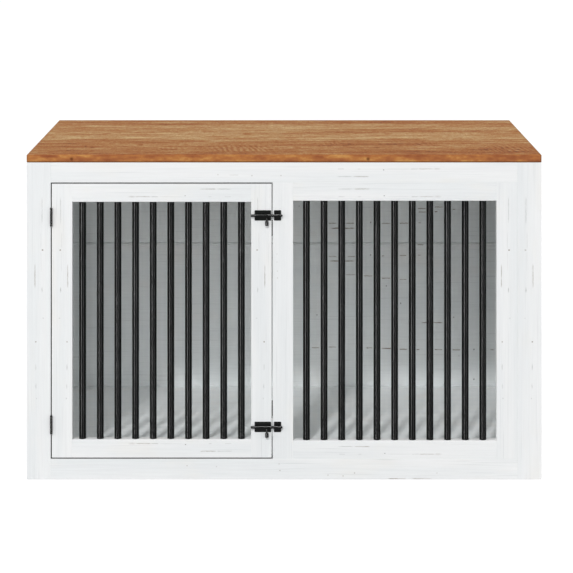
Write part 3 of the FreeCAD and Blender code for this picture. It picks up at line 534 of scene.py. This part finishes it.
def coat_painted_pieces():
    """Every painted piece has its own material, because the grain and the cracks differ."""
    knot_z = 0.4944
    uprights = {"front_left_post": (-0.5207, -1), "door_hinge_stile": (-0.4826, 1),
                "door_latch_stile": (-0.0578, 1), "fixed_panel_right_stile": (0.4847, -1),
                "front_right_post": (0.5203, 1)}
    made = {}
    for name, (x, side) in uprights.items():
        made[name] = ("z", "xz", post_marks(x, knot_z, side))
    made["centre_stile"] = ("z", "xz", front_marks((), STILE_SPOTS))
    top_grey, top_brown = rail_marks(0.2147, 0.6671, 1, -1)
    made["front_top_rail"] = ("x", "xz", (top_grey, top_brown + front_marks(RAIL_CRACKS, RAIL_SPOTS)[1]))
    made["front_bottom_rail"] = ("x", "xz", front_marks(SILL_CRACKS, SILL_SPOTS))
    made["fixed_panel_top_rail"] = ("x", "xz", rail_marks(0.216, 0.6115, 1, 1))
    made["fixed_panel_bottom_rail"] = ("x", "xz", rail_marks(0.217, 0.0563, 1, 1))
    made["door_top_rail"] = ("x", "xz", rail_marks(-0.2132, 0.6113, -1, 1))
    made["door_bottom_rail"] = ("x", "xz", rail_marks(-0.2125, 0.0752, -1, -1))
    for side in ("left", "right"):
        made[f"{side}_side_front_stile"] = ("z", "yz", post_marks(-0.250, knot_z, 1))
        made[f"{side}_side_rear_stile"] = ("z", "yz", post_marks(0.262, knot_z, -1))
        made[f"{side}_side_top_rail"] = ("y", "yz", rail_marks(0.02, 0.645, 1, -1))
        made[f"{side}_side_bottom_rail"] = ("y", "yz", rail_marks(-0.03, 0.040, -1, 1))
    made["back_upper_panel"] = ("x", "xz", board_marks())
    made["back_lower_panel"] = ("x", "xz", board_marks())
    made["floor_panel"] = ("x", "xy", ((), ()))
    made["floor_side_cleats"] = ("y", "yz", ((), ()))
    made["floor_long_cleats"] = ("x", "xz", ((), ()))
    for index, (name, (grain, plane, marks)) in enumerate(made.items()):
        # the inside boards take the lighter copy of the paint, as painted fill light
        tones = INSIDE_PAINT_WITH_PAINTED_LIGHT if name in PIECES_WITH_PAINTED_LIGHT else OUTER_PAINT
        # the door's pieces and those beside it get painted shade in the door's gap
        gap = name.startswith("door_") or name in BESIDE_DOOR
        finish(name, painted_wood(f"paint_{name}", grain, plane, marks, tones, gap, seed=1.37 * index))


def coat_other_pieces():
    """The pieces that share a material take it by the name of the slot that they come with."""
    finishes = {"brown_wood": brown_top(),
                "black_bar": coated_metal("bar_black", 10, 0.12, 1500.0, 0.0000004, uneven=0.01),
                "black_hardware": coated_metal("fitting_black", 12, 0.28, 2200.0, 0.00001, wear=0.4),
                "black_plastic": coated_metal("catch_black", 24, 0.55, 2600.0, 0.00003),
                "zinc_steel": zinc_steel(), "beech_dowel": bare_wood()}
    for name, piece in nodes.items():
        slot = piece.material_slots[0].name.split(".")[0]
        if slot in finishes:
            finish(name, finishes[slot])
            if slot in BLACK_METAL_SLOTS:
                black_metal.objects.link(piece)


# ---- stage, light and camera ----
def background_rays(g):
    """1 for the rays that look at the background: straight, mirrored or through glass."""
    path = g.node("ShaderNodeLightPath").outputs
    seen = g.math("MAXIMUM", path["Is Camera Ray"], path["Is Glossy Ray"])
    return g.math("MAXIMUM", seen, path["Is Transmission Ray"])


def stage_floor():
    """A pale floor that keeps a faint shadow and lights the object less than it shows."""
    corners = [(x * FLOOR_HALF, y * FLOOR_HALF, -FLOOR_DROP) for x, y in ((-1, -1), (1, -1), (1, 1), (-1, 1))]
    mesh = bpy.data.meshes.new("floor")
    mesh.from_pydata(corners, [], [(0, 1, 2, 3)])
    floor = bpy.data.objects.new("floor", mesh)
    bpy.context.scene.collection.objects.link(floor)
    g = material("floor_white")
    plain = g.node("ShaderNodeBsdfDiffuse", {"Color": (FLOOR_TONE,) * 3 + (1,)}).outputs[0]
    shadowed = g.node("ShaderNodeBsdfDiffuse", {"Color": (FLOOR_SHADOW,) * 3 + (1,)}).outputs[0]
    glow = g.node("ShaderNodeEmission", {"Strength": FLOOR_GLOW}).outputs[0]
    seen = g.node("ShaderNodeAddShader", {0: shadowed, 1: glow}).outputs[0]
    g.output(g.node("ShaderNodeMixShader", {0: background_rays(g), 1: plain, 2: seen}).outputs[0])
    mesh.materials.append(g.owner)


def world_light():
    """An even surround that shows as white behind the object."""
    scene = bpy.context.scene
    scene.world = bpy.data.worlds.new("studio")
    g = Graph(scene.world)
    soft = g.node("ShaderNodeBackground", {"Strength": AMBIENT}).outputs[0]
    soft.node.inputs["Color"].default_value = AMBIENT_TINT
    white = g.node("ShaderNodeBackground", {"Strength": 1.0}).outputs[0]
    white.node.inputs["Color"].default_value = (1, 1, 1, 1)
    mixed = g.node("ShaderNodeMixShader", {0: background_rays(g), 1: soft, 2: white}).outputs[0]
    g.output(mixed, "ShaderNodeOutputWorld")


def lamp(name, kind, energy, way, place=(0, 0, 0)):
    """A lamp that shines along way."""
    data = bpy.data.lights.new(name, kind)
    data.energy = energy
    made = bpy.data.objects.new(name, data)
    bpy.context.scene.collection.objects.link(made)
    made.location = place
    made.rotation_mode = "QUATERNION"
    made.rotation_quaternion = Vector(way).to_track_quat("-Z", "Y")
    return made


def studio_lamps():
    """The key lamp, the soft boxes and the lamps that only the black metal reflects."""
    key = lamp("key", "SUN", KEY_STRENGTH, KEY_WAY)
    key.data.angle = KEY_SPREAD
    for name, place, target, power in SOFT_BOXES:
        made = lamp(name, "AREA", power, Vector(target) - Vector(place), place)
        made.data.shape = "RECTANGLE"
        made.data.size, made.data.size_y = SOFT_BOX_SIZE
    for name, way, strength in SHEEN_LAMPS:
        made = lamp(name, "SUN", strength, way)
        made.data.angle = SHEEN_SPREAD
        made.visible_diffuse = False
        made.light_linking.receiver_collection = black_metal
        made.light_linking.blocker_collection = black_metal


def photo_camera():
    """The photograph's camera: its film stands upright while it looks down at the object.

    The empty that carries it leans the camera's depth axis only, which keeps the object's upright
    edges parallel and needs no lens shift. The scale along the width follows from that axis.
    """
    scene = bpy.context.scene
    data = bpy.data.cameras.new("camera")
    data.sensor_width = SENSOR
    data.lens = SENSOR * (AIM - EYE).length / FRAME_WIDTH
    data.clip_end = VIEW_REACH
    camera = bpy.data.objects.new("camera", data)
    rig = bpy.data.objects.new("camera_rig", None)
    scene.collection.objects.link(rig)
    scene.collection.objects.link(camera)
    back = -(AIM - EYE).normalized()
    leaning = Matrix(((1, 0, back.x, EYE.x), (0, 0, back.y, EYE.y), (0, 1, back.z, EYE.z), (0, 0, 0, 1)))
    camera.parent = rig
    camera.matrix_parent_inverse = leaning
    scene.camera = camera


black_metal = bpy.data.collections.new("black_metal")       # the only pieces that the sheen lamps light
coat_painted_pieces()
coat_other_pieces()
stage_floor()
world_light()
studio_lamps()
photo_camera()

bpy.context.scene.view_settings.view_transform = "Standard"
